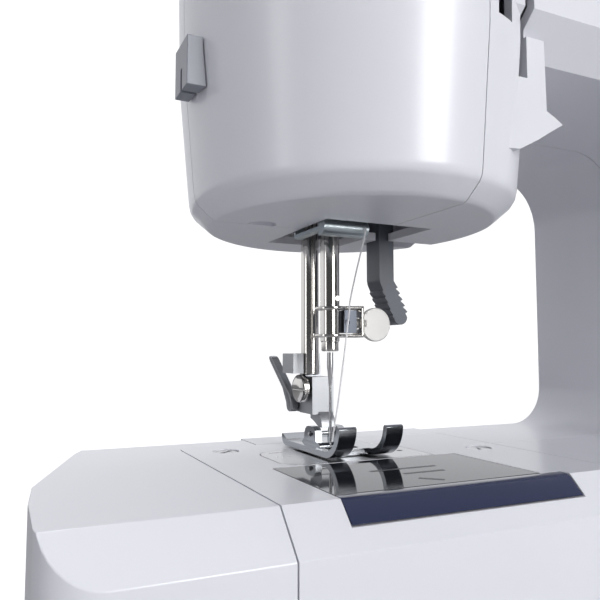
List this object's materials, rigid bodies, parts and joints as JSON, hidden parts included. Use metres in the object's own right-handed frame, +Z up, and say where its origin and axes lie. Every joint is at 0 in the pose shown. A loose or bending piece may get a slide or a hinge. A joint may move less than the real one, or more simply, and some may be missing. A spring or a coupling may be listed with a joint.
{
  "type": "sewing machine",
  "caption": "Compact free-arm domestic sewing machine with a deep oval head, metal presser foot, smoked bobbin cover and side handwheel.",
  "frame": {"origin": "centre of the bounding box's lowest face, on the surface the rubber feet stand on", "axes": "+X runs from the needle head to the handwheel, +Y away from the operator, +Z up"},
  "size_m": [0.3166, 0.1194, 0.278],
  "materials": {
    "shell_white": "gloss moulded",
    "trim_white": "satin moulded",
    "grey_plastic": "satin moulded",
    "dark_plastic": "matt moulded",
    "smoked_plastic": "polished, see-through",
    "navy_plastic": "gloss moulded",
    "foot_rubber": "matt",
    "belt_rubber": "matt",
    "steel": "fine ground",
    "chrome": "polished",
    "zinc_plate": "zinc plated",
    "casting": "as cast",
    "thread": "spun polyester"
  },
  "bodies": {
    "root": {"face_cover": "shell_white", "front_cover": "shell_white", "rear_cover": "shell_white", "base_plate": "dark_plastic", "rubber_foot_front_left": "foot_rubber", "rubber_foot_rear_left": "foot_rubber", "rubber_foot_front_right": "foot_rubber", "rubber_foot_rear_right": "foot_rubber", "free_arm_cover": "shell_white", "bed_screw_left": "steel", "bed_screw_right": "steel", "needle_plate": "steel", "machine_frame": "casting", "drive_belt": "belt_rubber", "timing_belt": "belt_rubber", "motor_housing": "casting", "bobbin_case": "dark_plastic", "thread_guide_bracket": "zinc_plate", "winder_stop": "trim_white", "top_thread_guide": "chrome", "thread_cutter": "grey_plastic", "inlet_socket": "dark_plastic"},
    "handwheel": {"handwheel": "trim_white", "upper_shaft": "steel", "needle_bar_crank": "casting"},
    "motor_rotor": {"motor_shaft": "steel"},
    "lower_shaft": {"lower_shaft": "steel"},
    "hook": {"rotary_hook": "steel"},
    "bobbin": {"bobbin": "smoked_plastic"},
    "feed_bar": {"feed_bar": "steel"},
    "feed_dog": {"feed_dog": "steel"},
    "needle_frame": {"needle_bar_frame": "casting"},
    "needle_bar": {"needle_bar": "chrome", "needle": "steel", "needle_clamp": "steel", "clamp_block": "steel", "sewing_thread": "thread"},
    "clamp_screw": {"clamp_screw": "chrome"},
    "presser_bar": {"presser_bar": "chrome", "foot_ankle": "chrome"},
    "ankle_screw": {"ankle_screw": "chrome"},
    "foot_release": {"foot_release_lever": "chrome"},
    "presser_foot": {"presser_foot": "chrome", "foot_pin": "steel"},
    "presser_lifter": {"presser_lifter": "dark_plastic"},
    "take_up_lever": {"take_up_lever": "steel"},
    "tension_wheel": {"tension_wheel": "trim_white"},
    "pattern_dial": {"pattern_dial": "trim_white"},
    "stitch_length_dial": {"stitch_length_dial": "trim_white"},
    "reverse_lever": {"reverse_lever": "trim_white"},
    "carry_handle": {"carry_handle": "grey_plastic"},
    "spool_pin_1": {"spool_pin_1": "trim_white"},
    "spool_pin_2": {"spool_pin_2": "trim_white"},
    "winder_arm": {"winder_arm": "trim_white"},
    "winder_spindle": {"winder_spindle": "trim_white"},
    "power_switch": {"power_switch": "dark_plastic"},
    "extension_table": {"extension_table": "shell_white"},
    "accessory_lid": {"accessory_lid": "shell_white"},
    "bobbin_cover": {"bobbin_cover_window": "smoked_plastic", "bobbin_cover_flap": "navy_plastic"}
  },
  "joints": [
    {"name": "handwheel_spin", "type": "hinge", "parent": "root", "child": "handwheel", "pos_m": [0.02775, 0.01255, 0.227], "axis": [1, 0, 0], "continuous": true},
    {"name": "motor_spin", "type": "hinge", "parent": "root", "child": "motor_rotor", "pos_m": [0.08775, 0.01255, 0.066], "axis": [1, 0, 0], "continuous": true},
    {"name": "lower_shaft_spin", "type": "hinge", "parent": "root", "child": "lower_shaft", "pos_m": [-0.01225, 0.00835, 0.045], "axis": [1, 0, 0], "continuous": true},
    {"name": "hook_spin", "type": "hinge", "parent": "root", "child": "hook", "pos_m": [-0.06625, -0.00795, 0.052], "axis": [0, 0, 1], "continuous": true},
    {"name": "bobbin_spin", "type": "hinge", "parent": "root", "child": "bobbin", "pos_m": [-0.06625, -0.00795, 0.068], "axis": [0, 0, 1], "continuous": true},
    {"name": "feed_lift", "type": "slide", "parent": "root", "child": "feed_bar", "axis": [0, 0, 1], "range_m": [0, 0.001]},
    {"name": "feed_travel", "type": "slide", "parent": "feed_bar", "child": "feed_dog", "axis": [0, 1, 0], "range_m": [-0.0015, 0.0015]},
    {"name": "needle_swing", "type": "hinge", "parent": "root", "child": "needle_frame", "pos_m": [-0.07225, 0.01255, 0.251], "axis": [0, -1, 0], "range_deg": [0, 2.4]},
    {"name": "needle_bar_slide", "type": "slide", "parent": "needle_frame", "child": "needle_bar", "axis": [0, 0, 1], "range_m": [-0.018, 0.012], "deforming": ["sewing_thread"]},
    {"name": "take_up_swing", "type": "hinge", "parent": "root", "child": "take_up_lever", "pos_m": [-0.05695, 0.00255, 0.207], "axis": [-1, 0, 0], "range_deg": [-35, 24]},
    {"name": "clamp_screw_turn", "type": "hinge", "parent": "needle_bar", "child": "clamp_screw", "pos_m": [-0.06025, 0.01255, 0.1225], "axis": [1, 0, 0], "range_deg": [-180, 180]},
    {"name": "presser_bar_lift", "type": "slide", "parent": "root", "child": "presser_bar", "axis": [0, 0, 1], "range_m": [0, 0.006]},
    {"name": "presser_lifter_swing", "type": "hinge", "parent": "root", "child": "presser_lifter", "pos_m": [-0.0506, 0.0178, 0.164], "axis": [0, -1, 0], "range_deg": [0, 50.5]},
    {"name": "ankle_screw_turn", "type": "hinge", "parent": "presser_bar", "child": "ankle_screw", "pos_m": [-0.07525, 0.02805, 0.1016], "axis": [-1, 0, 0], "range_deg": [-180, 180]},
    {"name": "foot_release_press", "type": "hinge", "parent": "presser_bar", "child": "foot_release", "pos_m": [-0.07325, 0.03655, 0.0956], "axis": [1, 0, 0], "range_deg": [0, 12], "stiffness_Nm_per_rad": 0.02},
    {"name": "foot_rock", "type": "hinge", "parent": "presser_bar", "child": "presser_foot", "pos_m": [-0.06625, 0.02355, 0.0874], "axis": [1, 0, 0], "range_deg": [-1.2, 1.2]},
    {"name": "tension_turn", "type": "hinge", "parent": "root", "child": "tension_wheel", "pos_m": [-0.03525, -0.02145, 0.2525], "axis": [1, 0, 0], "range_deg": [-150, 150]},
    {"name": "pattern_turn", "type": "hinge", "parent": "root", "child": "pattern_dial", "pos_m": [0.09775, -0.05245, 0.21], "axis": [0, -1, 0], "continuous": true},
    {"name": "stitch_length_turn", "type": "hinge", "parent": "root", "child": "stitch_length_dial", "pos_m": [0.09775, -0.05245, 0.162], "axis": [0, -1, 0], "range_deg": [0, 270]},
    {"name": "reverse_press", "type": "hinge", "parent": "root", "child": "reverse_lever", "pos_m": [0.09775, -0.02145, 0.116], "axis": [1, 0, 0], "range_deg": [0, 6], "stiffness_Nm_per_rad": 0.3},
    {"name": "handle_fold", "type": "hinge", "parent": "root", "child": "carry_handle", "pos_m": [0.03275, 0.04555, 0.2586], "axis": [-1, 0, 0], "range_deg": [0, 90]},
    {"name": "spool_pin_1_pull", "type": "slide", "parent": "root", "child": "spool_pin_1", "axis": [0, 0, 1], "range_m": [0, 0.035]},
    {"name": "spool_pin_2_pull", "type": "slide", "parent": "root", "child": "spool_pin_2", "axis": [0, 0, 1], "range_m": [0, 0.035]},
    {"name": "winder_shift", "type": "slide", "parent": "root", "child": "winder_arm", "axis": [-1, 0, 0], "range_m": [0, 0.004]},
    {"name": "winder_spin", "type": "hinge", "parent": "winder_arm", "child": "winder_spindle", "pos_m": [0.09975, -0.01245, 0.262], "axis": [0, 0, 1], "continuous": true},
    {"name": "power_rock", "type": "hinge", "parent": "root", "child": "power_switch", "pos_m": [0.12775, -0.00145, 0.042], "axis": [0, -1, 0], "range_deg": [0, 12]},
    {"name": "extension_table_slide", "type": "slide", "parent": "root", "child": "extension_table", "axis": [-1, 0, 0], "range_m": [0, 0.08]},
    {"name": "accessory_lid_fold", "type": "hinge", "parent": "extension_table", "child": "accessory_lid", "pos_m": [-0.12925, -0.04645, 0.0113], "axis": [1, 0, 0], "range_deg": [0, 90]},
    {"name": "bobbin_cover_slide", "type": "slide", "parent": "root", "child": "bobbin_cover", "axis": [0, -1, 0], "range_m": [0, 0.045]}
  ],
  "couplings": [
    {"joint": "motor_spin", "follows": "handwheel_spin", "ratio": 3.4658},
    {"joint": "lower_shaft_spin", "follows": "handwheel_spin", "ratio": 1},
    {"joint": "hook_spin", "follows": "handwheel_spin", "ratio": 2},
    {"joint": "take_up_swing", "follows": "needle_bar_slide", "rad_per_m": 33.3},
    {"joint": "presser_lifter_swing", "follows": "presser_bar_lift", "rad_per_m": 145.4}
  ]
}
